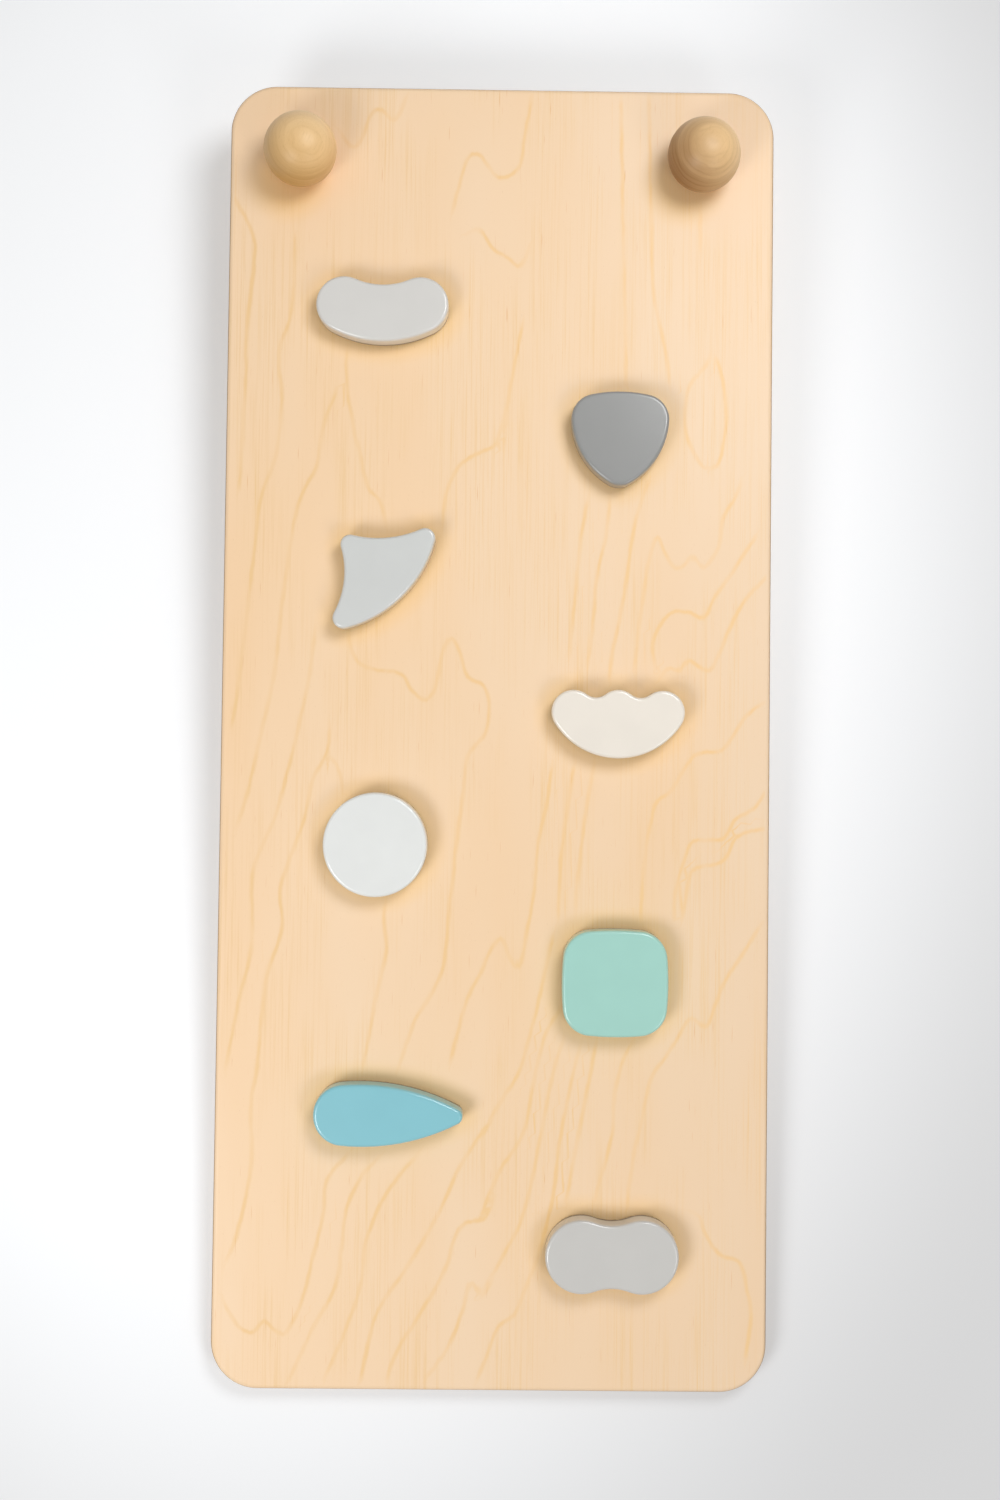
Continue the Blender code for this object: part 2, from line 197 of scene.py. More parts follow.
def addPiece(name, mesh, material, body, nodes, place=Matrix()):
    # Turns a finished bmesh into the piece that stands for those nodes and rides on that body
    data = mesh
    if isinstance(mesh, bmesh.types.BMesh):
        data = bpy.data.meshes.new(name)
        mesh.to_mesh(data)
        mesh.free()
    data.name = name
    data.transform(lean @ place)
    data.shade_smooth()
    data.set_sharp_from_angle(angle=math.radians(sharpAngle))
    data.materials.clear()
    data.materials.append(material)
    piece = bpy.data.objects.new(name, data)
    bpy.context.scene.collection.objects.link(piece)
    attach(piece, body)
    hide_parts(*nodes)


def evaluatedMesh(holder):
    # The plain mesh that an object's modifiers make, after which the object is taken away
    bpy.context.view_layer.update()
    graph = bpy.context.evaluated_depsgraph_get()
    data = bpy.data.meshes.new_from_object(holder.evaluated_get(graph))
    holder.modifiers.clear()
    bpy.data.objects.remove(holder)
    return data


def meshHolder(name, mesh):
    data = bpy.data.meshes.new(name)
    mesh.to_mesh(data)
    mesh.free()
    holder = bpy.data.objects.new(name, data)
    bpy.context.scene.collection.objects.link(holder)
    return holder


# Camera: above the middle of the board, looking almost straight down
camera = {
    "place": (0.0101, -0.0737, 1.3361),
    "turn": (4.93, -0.459, 0.649),  # rotation vector, in degrees
    "lens": 36.96,
    "film": 36.0,
    "shift": (-0.0133, -0.0419),
    "picture": (1000, 1500),
}
turn = Vector(camera["turn"])
cameraPose = Matrix.Translation(camera["place"]) @ Matrix.Rotation(math.radians(turn.length), 4, turn)
cameraData = bpy.data.cameras.new("camera")
cameraData.sensor_fit = "VERTICAL"
cameraData.sensor_height = camera["film"]
cameraData.lens = camera["lens"]
cameraData.shift_x, cameraData.shift_y = camera["shift"]
cameraData.clip_end = 50
cameraObject = bpy.data.objects.new("camera", cameraData)
cameraObject.matrix_world = cameraPose
bpy.context.scene.collection.objects.link(cameraObject)
bpy.context.scene.camera = cameraObject
print("camera placed")

# Plywood board with a birch face veneer
board = {
    "width": 0.460,
    "length": 1.090,
    "thickness": 0.018,
    "cornerRadius": 0.039,
    "edgeRadius": 0.004,
    "edgeSteps": 7,
    "cell": 0.004,  # the front face is cut this small, to carry the growth lines and the painted shade
    "studHole": 0.0045,
    "screwHead": 0.0043,
    "screwShank": 0.0023,
    "screwLand": 0.0010,
}
frontFace = board["thickness"] / 2

# Growth lines of the front, in mm: a line is full this near its path and gone at its reach. Towards
# its ends it fades to the share atEnd.
grain = {"halfWidth": 3.2, "full": 5.0, "reach": 9.0, "fade": 14.0, "atEnd": 0.3, "step": 3.0}

# Painted golden shade in the front veneer, along the foot of each hold and where each knob's shadow falls:
# its strength, and in mm how far it reaches and where its patches lie
paintedShade = {
    "atHold": 0.75,
    "holdReach": 17.0,
    "belowKnob": 0.7,
    "knobOffset": (-13, -16),
    "knobReach": (39.0, 20.0),
}
veneer = {
    "pale": "F9DDBC",
    "warm": "F9D6AD",
    "streak": "EFC991",
    "growthLine": "F3CD98",
    "dash": "E6B274",
    "fleck": "CFA56C",
    "paintedShadeRight": "F7F7F8",  # this and the next are multiplied in, both as painted shade
    "paintedShadeTint": "FFF3CB",
}
plyEdge = {
    "plies": 13,
    "begins": (1.25, 1.38),  # mm below the face
    "longGrain": "CFA670",
    "endGrain": "A67A48",
    "pore": "93693C",
    "glue": "70502F",
}

# Holds of painted wood. The outline is a ring of round lobes, anticlockwise, as (x, y, radius) in mm,
# with arcs that bridge each to the next: a bridge's radius is negative where it is hollow.
holds = {
    "bean": {
        "centre": (-98.5, 351.1),
        "lobes": [(-31.8, 3.7, 23.3), (31.8, 3.7, 23.3)],
        "bridges": [92, -57],
        "screws": [(-32, 2), (32, 2)],
        "paint": "D6D5D2",
    },
    "triangle": {
        "centre": (100.7, 244.1),
        "lobes": [(-19.7, 17.2, 21.1), (0, -21.4, 17.0), (19.7, 17.2, 21.1)],
        "bridges": [65, 65, 113],
        "screws": [(-19, 12), (19, 12)],
        "paint": "878887",
    },
    "fin": {
        "centre": (-94.2, 126.1),
        "lobes": [(-28.2, 28.1, 8.1), (-33.0, -33.0, 9.0), (33.8, 34.0, 8.4)],
        "bridges": [-72, 103, -87.5],
        "screws": [(-19, -8), (8, 15)],
        "paint": "D0D3D2",
    },
    "cloud": {
        "centre": (101.3, 7.0),
        "lobes": [(-37.1, 10.6, 18.1), (37.1, 10.6, 18.1), (0, 12.6, 16.5)],
        "bridges": [62.3, -13, -13],
        "screws": [(-32, 4), (32, 4)],
        "paint": "EEE7DC",
    },
    "round": {
        "centre": (-98.4, -94.1),
        "lobes": [(0, 0, 43.0)],
        "bridges": [],
        "screws": [(-20, 0), (20, 0)],
        "paint": "E8EBEA",
    },
    "square": {
        "centre": (100.9, -206.0),
        "lobes": [(-19.2, 19.2, 23.8), (-19.2, -19.2, 23.8), (19.2, -19.2, 23.8), (19.2, 19.2, 23.8)],
        "bridges": [240, 240, 240, 240],
        "screws": [(-20, 0), (20, 0)],
        "paint": "A0D4C9",
    },
    "drop": {
        "centre": (-85.5, -315.6),
        "lobes": [(-35.6, 0, 24.9), (55.5, -0.3, 6.6)],
        "bridges": [174.5, 174.5],
        "screws": [(-36, 0), (10, 0)],
        "paint": "80C4D1",
    },
    "peanut": {
        "centre": (100.4, -428.8),
        "lobes": [(-24.7, 0, 30.1), (24.7, 0, 30.1)],
        "bridges": [-40.8, -40.8],
        "screws": [(-25, 0), (25, 0)],
        "paint": "C9C8C5",
    },
}

# Growth lines of the front veneer, as they run in the photograph: points along each, in the picture's
# pixels, which the camera puts on the board.
growthLines = [
    # Upper left, and the peaks at the top edge
    [(235, 198), (253, 235), (254, 267), (246, 337), (246, 375), (239, 492)],
    [(295, 230), (292, 308), (279, 353), (282, 401), (276, 455), (261, 498), (254, 553), (242, 656),
     (232, 729)],
    [(337, 388), (322, 431), (317, 466), (298, 506), (282, 603), (275, 668), (260, 738), (248, 791),
     (236, 829)],
    [(347, 348), (347, 383), (353, 423), (360, 455), (368, 487), (379, 499), (384, 512), (386, 527)],
    [(339, 131), (352, 147), (360, 142), (371, 115), (381, 109), (395, 120), (407, 96)],
    [(452, 214), (459, 187), (468, 158), (480, 155), (496, 176), (509, 176), (520, 166), (524, 142),
     (532, 96)],
    [(467, 234), (480, 230), (493, 249), (507, 257), (520, 267), (530, 246)],
    [(523, 321), (515, 364), (507, 407), (504, 450)],
    [(504, 415), (496, 444), (480, 452), (459, 466), (446, 495), (442, 530)],
    # Upper right
    [(621, 98), (626, 385)],
    [(649, 96), (651, 214), (654, 294), (665, 348), (670, 388)],
    [(700, 209), (701, 257)],
    [(712, 352), (705, 367), (690, 385), (685, 415), (689, 442), (702, 466), (708, 468)],
    [(712, 352), (720, 369), (726, 407), (724, 442), (717, 466), (708, 468)],
    # Middle
    [(316, 627), (310, 671), (298, 729), (276, 814), (254, 867), (252, 920), (251, 951), (239, 1000),
     (225, 1073)],
    [(330, 723), (327, 753), (313, 779), (304, 820), (289, 861), (280, 891), (282, 929), (266, 981),
     (257, 1067), (251, 1104), (251, 1165), (239, 1226), (226, 1263)],
    [(327, 753), (338, 767), (343, 791)],
    [(348, 632), (354, 656), (368, 668), (401, 674), (412, 691), (427, 700), (436, 685), (442, 656),
     (450, 638), (459, 650), (468, 677), (483, 685), (489, 703), (486, 732), (468, 756), (464, 788),
     (458, 832), (450, 905), (444, 963), (432, 993), (416, 1018), (407, 1042), (398, 1070)],
    [(386, 899), (384, 920), (386, 951), (376, 997), (369, 1036), (363, 1067)],
    [(649, 480), (638, 512), (632, 539), (627, 577), (621, 612), (613, 650), (609, 682)],
    [(588, 498), (581, 539), (575, 597), (569, 656)],
    [(610, 498), (606, 536), (597, 577), (593, 621), (587, 668)],
    [(634, 671), (640, 621), (644, 591), (650, 556), (657, 537), (665, 553), (675, 568), (685, 565),
     (693, 556), (703, 568), (712, 559), (720, 542), (723, 518), (735, 498), (742, 480)],
    [(655, 668), (653, 644), (659, 627), (671, 613), (688, 612), (704, 618), (715, 597), (729, 577),
     (756, 536)],
    [(659, 679), (668, 668), (679, 671), (688, 660), (697, 665), (709, 671), (718, 656), (729, 630),
     (741, 606), (756, 588), (769, 575)],
    [(641, 920), (643, 876), (649, 832), (656, 803), (671, 791), (694, 756), (720, 751), (732, 738),
     (747, 715), (767, 701)],
    [(674, 920), (676, 891), (685, 858), (694, 841), (723, 839), (735, 820), (753, 809), (769, 788)],
    [(682, 920), (688, 885), (694, 869), (723, 861), (738, 836), (769, 828)],
    [(552, 765), (547, 803), (539, 838), (534, 891), (529, 920), (520, 966), (511, 960), (501, 938),
     (489, 954), (481, 972), (465, 1006), (450, 1064)],
    [(574, 765), (562, 847), (558, 920)],
    [(594, 762), (583, 832), (575, 914)],
    # Lower right
    [(553, 935), (541, 990), (532, 1027), (520, 1070), (501, 1101), (480, 1140)],
    [(560, 1009), (544, 1039), (532, 1091), (523, 1134), (498, 1174), (480, 1220)],
    [(564, 1039), (553, 1073), (541, 1134), (532, 1180), (520, 1223), (504, 1254), (480, 1297)],
    [(581, 1042), (572, 1079), (560, 1140), (553, 1196), (538, 1257)],
    [(596, 1042), (587, 1091), (575, 1153), (566, 1202)],
    [(635, 1039), (624, 1058), (615, 1091), (612, 1134), (602, 1174), (593, 1205)],
    [(762, 923), (743, 954), (725, 981), (716, 1003), (706, 1027), (691, 1018), (679, 1036), (667, 1055),
     (651, 1079), (642, 1119), (633, 1159), (627, 1208)],
    [(691, 1212), (700, 1217), (706, 1235), (719, 1254), (740, 1263), (746, 1287), (751, 1315),
     (745, 1361)],
    # Lower left
    [(349, 1153), (327, 1180), (323, 1214), (315, 1248), (303, 1297), (286, 1333), (275, 1330),
     (263, 1321), (252, 1333), (236, 1324), (223, 1300)],
    [(380, 1156), (361, 1177), (346, 1211), (341, 1251), (335, 1287), (312, 1330), (288, 1382)],
    [(419, 1153), (398, 1177), (380, 1205), (366, 1242), (360, 1287), (343, 1336), (324, 1379)],
    [(494, 1116), (474, 1144), (456, 1174), (444, 1202), (425, 1238), (404, 1272), (376, 1315),
     (360, 1382)],
    [(494, 1196), (484, 1219), (468, 1222), (456, 1235), (444, 1272), (419, 1315), (395, 1355),
     (387, 1382)],
    [(494, 1275), (482, 1295), (470, 1283), (462, 1312), (447, 1349), (425, 1379)],
    [(538, 1257), (526, 1287), (514, 1315), (498, 1327), (486, 1358), (475, 1384)],
]


def pointOnFace(px, py):
    # Where the camera sees that pixel of the picture on the board's front face, in the board's frame
    wide, tall = camera["picture"]
    focal = camera["lens"] / camera["film"] * tall
    across = px - wide / 2 + camera["shift"][0] * tall
    up = tall / 2 - py + camera["shift"][1] * tall
    toBoard = lean.inverted() @ cameraPose
    start = toBoard @ Vector((0, 0, 0))
    end = toBoard @ Vector((across / focal, up / focal, -1))
    step = end - start
    return start + step * (frontFace - start.z) / step.z


def curveThrough(points, step):
    # A smooth curve through the points, as short straight steps
    padded = np.array([points[0]] + list(points) + [points[-1]], float)
    curve = []
    for a, b, c, d in zip(padded, padded[1:], padded[2:], padded[3:]):
        count = max(2, int(np.hypot(*(c - b)) / step))
        for t in np.arange(count) / count:
            bend = 2 * a - 5 * b + 4 * c - d + t * (3 * b - a - 3 * c + d)
            curve.append(b + 0.5 * t * (c - a + t * bend))
    return np.array(curve + [padded[-1]])


def besideStep(spots, start, end):
    # How far each spot lies from one straight step of a path, and on which side of it
    way = end - start
    along = np.clip((spots - start) @ way / (way @ way + 1e-9), 0, 1)
    gap = spots - start - along[:, None] * way
    return np.hypot(gap[:, 0], gap[:, 1]), np.sign(way[0] * gap[:, 1] - way[1] * gap[:, 0])


def growthLineField(places):
    # For each place on the face, in millimetres: how far beside the nearest growth line it lies, with a
    # sign for the side, and how much of that line shows there
    farOff = 99.0
    nearest = np.full(len(places), farOff)
    side = np.full(len(places), farOff)
    shows = np.zeros(len(places))
    step = grain["step"]
    for line in growthLines:
        curve = curveThrough([pointOnFace(px, py).xy / millimetre for px, py in line], step)
        low, high = curve.min(0) - grain["reach"], curve.max(0) + grain["reach"]
        close = np.flatnonzero(((places > low) & (places < high)).all(1))
        spots = places[close]
        for start, end, done in zip(curve, curve[1:], np.arange(len(curve) - 1) * step):
            away, turn = besideStep(spots, start, end)
            won = away < nearest[close]
            here = close[won]
            nearest[here] = away[won]
            side[here] = (away * turn)[won]
            toEnd = min(done, step * (len(curve) - 2) - done)
            shows[here] = min(1.0, grain["atEnd"] + toEnd / grain["fade"])
    shows *= np.clip((grain["reach"] - nearest) / (grain["reach"] - grain["full"]), 0, 1)
    return np.clip(side, -grain["reach"], grain["reach"]), shows


def paintedShadeField(places):
    # How much painted golden shade the veneer gets at each place on the face: it lies along the foot of each
    # hold, and in a patch below each knob, where its shadow falls
    amount = np.zeros(len(places))
    for hold in holds.values():
        outline = lobedOutline(hold["lobes"], hold["bridges"])
        rim = np.array([point / millimetre + Vector(hold["centre"]) for point, outward in outline])
        low, high = rim.min(0) - paintedShade["holdReach"], rim.max(0) + paintedShade["holdReach"]
        close = np.flatnonzero(((places > low) & (places < high)).all(1))
        gaps = [besideStep(places[close], start, end)[0] for start, end in zip(rim, np.roll(rim, -1, 0))]
        amount[close] = paintedShade["atHold"] * np.clip(1 - np.min(gaps, 0) / paintedShade["holdReach"], 0, 1)
    # painted shadow of each knob: a golden patch offset down and to the left of it
    for side in (-1, 1):
        patch = np.array((side * knob["x"], knob["y"])) / millimetre + paintedShade["knobOffset"]
        start, end = paintedShade["knobReach"]
        gap = np.hypot(*(places - patch).T)
        inKnobShadow = np.clip((start - gap) / (start - end), 0, 1)
        amount = np.maximum(amount, paintedShade["belowKnob"] * inKnobShadow)
    return amount


def frontCells(mesh, cell):
    # Cuts the flat front face into cells, first in bands up the board and then across them
    half = (board["width"] / 2, board["length"] / 2)
    for axis in (1, 0):
        count = round(2 * half[axis] / cell)
        direction = Vector((axis == 0, axis == 1, 0))
        for i in range(1, count):
            place = -half[axis] + 2 * half[axis] * i / count
            faces = []
            for face in mesh.faces:
                if face.normal.z > 0.9999:
                    ends = [vert.co[axis] for vert in face.verts]
                    if min(ends) < place < max(ends):
                        faces.append(face)
            edges = {edge for face in faces for edge in face.edges}
            verts = {vert for face in faces for vert in face.verts}
            bmesh.ops.bisect_plane(
                mesh,
                geom=faces + list(edges) + list(verts),
                dist=1e-7,
                plane_co=direction * place,
                plane_no=direction,
            )


def buildBoard(material):
    thickness = board["thickness"]
    outline = roundedRectangle(board["width"], board["length"], board["cornerRadius"])
    slab = roundedSlab(outline, thickness, board["edgeRadius"], board["edgeRadius"], board["edgeSteps"])
    holder = meshHolder("board", slab)

    head, shank, land = board["screwHead"], board["screwShank"], board["screwLand"]
    over = 0.005
    sunkHole = [(0, -over), (head, -over), (head, land), (shank, land + head - shank)]
    sunkHole += [(shank, thickness + over), (0, thickness + over)]
    centres = [Vector(hold["centre"]) + Vector(s) for hold in holds.values() for s in hold["screws"]]
    places = [Matrix.Translation((x * millimetre, y * millimetre, 0)) for x, y in centres]
    studHole = [(0, -over), (board["studHole"], -over), (board["studHole"], thickness + over)]
    studHole += [(0, thickness + over)]
    studs = [Matrix.Translation((side * knob["x"], knob["y"], 0)) for side in (-1, 1)]
    for name, cutter in (
        ("screwHoles", turnedMesh(sunkHole, 48, places)),
        ("studHoles", turnedMesh(studHole, 64, studs)),
    ):
        drill = meshHolder(name, cutter)
        drill.hide_render = True
        drilled = holder.modifiers.new(name, "BOOLEAN")
        drilled.operation = "DIFFERENCE"
        drilled.solver = "EXACT"
        drilled.object = drill
    drills = [modifier.object for modifier in holder.modifiers]
    data = evaluatedMesh(holder)
    for drill in drills:
        bpy.data.objects.remove(drill)

    mesh = bmesh.new()
    mesh.from_mesh(data)
    bpy.data.meshes.remove(data)
    bmesh.ops.translate(mesh, verts=mesh.verts, vec=(0, 0, -frontFace))
    bmesh.ops.dissolve_limit(
        mesh, angle_limit=math.radians(0.01), verts=mesh.verts, edges=mesh.edges, delimit={"NORMAL"}
    )
    frontCells(mesh, board["cell"])
    places = np.array([vert.co.xy for vert in mesh.verts]) / millimetre
    side, shows = growthLineField(places)
    onFront = np.array([vert.co.z > 0 for vert in mesh.verts])
    data = bpy.data.meshes.new("board")
    mesh.to_mesh(data)
    mesh.free()
    data.attributes.new("lineSide", "FLOAT", "POINT").data.foreach_set("value", side)
    data.attributes.new("lineShows", "FLOAT", "POINT").data.foreach_set("value", shows * onFront)
    # the painted golden shade, kept on the front face
    data.attributes.new("paintedShadeTint", "FLOAT", "POINT").data.foreach_set("value", paintedShadeField(places) * onFront)
    print("board:", len(data.vertices), "points,", len(growthLines), "growth lines")
    addPiece("rampBoard", data, material, "ramp", ["board"])


def birchPlywood():
    # Birch plywood under matt oil: a cream veneer with thin soft golden growth lines, fine fibres and a
    # few short dark flecks, with a painted shade that darkens the right side a little, and a painted golden
    # shade along the foot of each hold and below each knob. The front has the photograph's own lines, and
    # the back has lines of its kind.
    material, tree, shader = newMaterial("birchPlywood")
    place = boardPlace(tree)
    split = addNode(tree, "ShaderNodeSeparateXYZ", place).outputs
    side = addNode(tree, "ShaderNodeAttribute", attribute_name="lineSide").outputs["Fac"]
    shows = addNode(tree, "ShaderNodeAttribute", attribute_name="lineShows").outputs["Fac"]

    # The front's growth lines, which sway a little and come and go
    sway = patternNoise(tree, place, (6, 16, 0), detail=3)
    side = addNode(tree, "ShaderNodeMath", sway, 2.6, side, operation="MULTIPLY_ADD")
    side = addNode(tree, "ShaderNodeMath", side, 1.3, operation="SUBTRACT")
    away = addNode(tree, "ShaderNodeMath", side, operation="ABSOLUTE")
    line = addNode(
        tree, "ShaderNodeMapRange", away, grain["halfWidth"], 0.0, interpolation_type="SMOOTHERSTEP"
    )
    patches = patternNoise(tree, place, (16, 60, 0))
    strength = addNode(tree, "ShaderNodeMapRange", patches, 0.38, 0.62, 0.45, 1.1)
    line = addNode(tree, "ShaderNodeMath", line, strength, operation="MULTIPLY")
    line = addNode(tree, "ShaderNodeMath", line, shows, operation="MULTIPLY")

    # The back's growth lines, the level lines of a long slow wave
    slow = patternNoise(tree, place, (110, 520, 0), detail=1, seed=3)
    slow = addNode(tree, "ShaderNodeMath", sway, 0.02, slow, operation="MULTIPLY_ADD")
    rings = addNode(tree, "ShaderNodeMath", slow, 15.0, operation="MULTIPLY")
    rings = addNode(tree, "ShaderNodeMath", rings, 0.5, operation="PINGPONG")
    rings = addNode(tree, "ShaderNodeMapRange", rings, 0.09, 0.0, interpolation_type="SMOOTHSTEP")
    rings = addNode(tree, "ShaderNodeMath", rings, strength, operation="MULTIPLY")
    toBack = addNode(tree, "ShaderNodeMapRange", split["Z"], 8.0, -8.0)
    line = addNode(tree, "ShaderNodeMath", rings, toBack, line, operation="MULTIPLY_ADD")

    broad = patternNoise(tree, place, (90, 400, 0))
    toRight = addNode(tree, "ShaderNodeMapRange", split["X"], -500 * board["width"], 500 * board["width"])
    broad = addNode(tree, "ShaderNodeMath", toRight, -0.24, broad, operation="MULTIPLY_ADD")
    broad = addNode(tree, "ShaderNodeMapRange", broad, 0.08, 0.68)
    wood = addNode(tree, "ShaderNodeMix", broad, veneer["pale"], veneer["warm"], data_type="RGBA")
    tinted = {"data_type": "RGBA", "blend_type": "MULTIPLY"}
    # painted shade: the wood darkens a little towards the right
    wood = addNode(tree, "ShaderNodeMix", toRight, wood, veneer["paintedShadeRight"], **tinted)
    fibre = patternNoise(tree, place, (1.9, 150, 0), detail=5, roughness=0.7)
    streak = addNode(tree, "ShaderNodeMapRange", fibre, 0.48, 0.72, 0.0, 0.9)
    plain = patternNoise(tree, place, (28, 120, 0), detail=1, seed=5)
    plain = addNode(tree, "ShaderNodeMapRange", plain, 0.40, 0.62)
    streak = addNode(tree, "ShaderNodeMath", streak, plain, operation="MULTIPLY")
    wood = addNode(tree, "ShaderNodeMix", streak, wood, veneer["streak"], data_type="RGBA")
    wood = addNode(tree, "ShaderNodeMix", line, wood, veneer["growthLine"], data_type="RGBA")
    dash = patternNoise(tree, place, (1.2, 30, 0), detail=1, seed=7)
    dash = addNode(tree, "ShaderNodeMapRange", dash, 0.73, 0.83, 0.0, 0.7)
    wood = addNode(tree, "ShaderNodeMix", dash, wood, veneer["dash"], data_type="RGBA")
    fleck = patternNoise(tree, place, (0.45, 3.5, 0), detail=1)
    fleck = addNode(tree, "ShaderNodeMapRange", fleck, 0.72, 0.80, 0.0, 0.4)
    wood = addNode(tree, "ShaderNodeMix", fleck, wood, veneer["fleck"], data_type="RGBA")
    # painted shade: a golden tint multiplied in along the foot of each hold and below each knob
    paintedShadeTint = addNode(tree, "ShaderNodeAttribute", attribute_name="paintedShadeTint").outputs["Fac"]
    wood = addNode(tree, "ShaderNodeMix", paintedShadeTint, wood, veneer["paintedShadeTint"], **tinted)

    # Plies, seen where the edge is rounded over: long grain and end grain in turn, with glue between
    across = addNode(tree, "ShaderNodeMath", split["Z"], operation="ABSOLUTE")
    depth = addNode(tree, "ShaderNodeMath", 1000 * frontFace, across, operation="SUBTRACT")
    faces = (-1000 * frontFace, 1000 * frontFace)
    layer = addNode(tree, "ShaderNodeMapRange", split["Z"], *faces, 0.0, plyEdge["plies"])
    pair = addNode(tree, "ShaderNodeMath", layer, 1.0, operation="PINGPONG")
    even = addNode(tree, "ShaderNodeMath", pair, 0.5, operation="GREATER_THAN")
    joint = addNode(tree, "ShaderNodeMath", layer, 0.5, operation="PINGPONG")
    pores = patternNoise(tree, place, (1.1, 1.1, 0.4), detail=3)
    ply = addNode(
        tree, "ShaderNodeMix", even, plyEdge["longGrain"], plyEdge["endGrain"], data_type="RGBA"
    )
    pores = addNode(tree, "ShaderNodeMapRange", pores, 0.35, 0.7, 0.0, 0.5)
    ply = addNode(tree, "ShaderNodeMix", pores, ply, plyEdge["pore"], data_type="RGBA")
    glue = addNode(tree, "ShaderNodeMapRange", joint, 0.08, 0.03, 0.0, 0.7)
    ply = addNode(tree, "ShaderNodeMix", glue, ply, plyEdge["glue"], data_type="RGBA")
    inside = addNode(tree, "ShaderNodeMapRange", depth, *plyEdge["begins"])
    wood = addNode(tree, "ShaderNodeMix", inside, wood, ply, data_type="RGBA")

    rough = addNode(tree, "ShaderNodeMapRange", fibre, 0.3, 0.7, 0.42, 0.52)
    raised = addNode(tree, "ShaderNodeMath", line, 0.5, fibre, operation="MULTIPLY_ADD")
    bump = addNode(tree, "ShaderNodeBump", {"Height": raised, "Distance": 0.00003})
    connect(tree, shader, baseColor=wood, roughness=rough, normal=bump)
    return material


# Painted holds: the paint darkens from the first to the second footShade, in mm above the board, as a
# painted shade at the foot
holdShape = {
    "thickness": 0.0185,
    "topRound": 0.0028,
    "bottomRound": 0.0015,
    "steps": 10,
    "seat": 0.00005,
    "footShade": (5.5, 3.5),
    "footShadeDepth": 0.85,
    "footShadeColour": "3A3129",
}


def paintedWood(name, paint, seed):
    # Sprayed acrylic on beech under a clear coat: an even colour with a fine orange peel, the grain just
    # felt, and bright lines along the rounded edges. At the foot the paint darkens to dark brown, a painted
    # shade.
    material, tree, shader = newMaterial(name)
    place = boardPlace(tree)
    cloudy = patternNoise(tree, place, (30, 30, 30), seed=seed)
    darker = [0.975 * channel for channel in linearColour(paint)[:3]] + [1]
    factor = addNode(tree, "ShaderNodeMapRange", cloudy, 0.35, 0.65)
    colour = addNode(tree, "ShaderNodeMix", factor, paint, darker, data_type="RGBA")
    peel = patternNoise(tree, place, (1.3, 1.3, 1.3), seed=seed)
    fibres = patternNoise(tree, place, (0.8, 25, 2), detail=3, seed=seed)
    level = addNode(tree, "ShaderNodeSeparateXYZ", place).outputs["Z"]
    level = addNode(tree, "ShaderNodeMath", level, 1000 * frontFace, operation="SUBTRACT")
    # painted shade: the paint darkens towards a dark brown near the foot
    foot = addNode(tree, "ShaderNodeMapRange", level, *holdShape["footShade"], 0.0, holdShape["footShadeDepth"])
    colour = addNode(tree, "ShaderNodeMix", foot, colour, holdShape["footShadeColour"], data_type="RGBA")
    shader.inputs["Coat Weight"].default_value = 0.9
    shader.inputs["Coat Roughness"].default_value = 0.14
    rough = addNode(tree, "ShaderNodeMapRange", peel, 0.3, 0.7, 0.30, 0.36)
    raised = addNode(tree, "ShaderNodeMath", fibres, 0.5, peel, operation="MULTIPLY_ADD")
    bump = addNode(tree, "ShaderNodeBump", {"Height": raised, "Distance": 0.000005})
    connect(tree, shader, baseColor=colour, roughness=rough, normal=bump)
    return material


def bridgeCentre(first, second, radius):
    # The centre of the arc that touches two lobes, on the inner side where it bulges
    (a, radiusA), (b, radiusB) = first, second
    reachA = abs(radius - radiusA)
    reachB = abs(radius - radiusB)
    apart = (b - a).length
    along = (apart**2 + reachA**2 - reachB**2) / (2 * apart)
    aside = math.copysign(math.sqrt(reachA**2 - along**2), radius)
    forward = (b - a) / apart
    return a + along * forward + aside * Vector((-forward.y, forward.x))


def bearing(vector):
    return math.atan2(vector.y, vector.x)


def lobedOutline(lobes, bridges):
    circles = [(Vector((x, y)) * millimetre, radius * millimetre) for x, y, radius in lobes]
    bridges = [radius * millimetre for radius in bridges]
    if not bridges:
        centre, radius = circles[0]
        return arcPoints(centre, radius, 0, 2 * math.pi)
    following = circles[1:] + circles[:1]
    centres = [bridgeCentre(a, b, radius) for a, b, radius in zip(circles, following, bridges)]
    points = []
    for i, (lobe, radius) in enumerate(circles):
        sideIn = math.copysign(1, bridges[i - 1])
        sideOut = math.copysign(1, bridges[i])
        start = bearing(sideIn * (lobe - centres[i - 1]))
        end = bearing(sideOut * (lobe - centres[i]))
        points += arcPoints(lobe, radius, start, (end - start) % (2 * math.pi))
        leave = bearing(lobe - centres[i])
        meet = bearing(following[i][0] - centres[i])
        sweep = sideOut * ((sideOut * (meet - leave)) % (2 * math.pi))
        points += arcPoints(centres[i], abs(bridges[i]), leave, sweep, side=sideOut)
    return points


def buildHolds():
    rounds = (holdShape["topRound"], holdShape["bottomRound"])
    for number, (name, hold) in enumerate(holds.items(), start=1):
        outline = lobedOutline(hold["lobes"], hold["bridges"])
        slab = roundedSlab(outline, holdShape["thickness"], *rounds, holdShape["steps"])
        x, y = hold["centre"]
        seat = Matrix.Translation((x * millimetre, y * millimetre, frontFace + holdShape["seat"]))
        paint = paintedWood(name + "HoldPaint", hold["paint"], number)
        addPiece(name + "Hold", slab, paint, "ramp", [name + "_hold"], seat)
    print("holds:", len(holds))


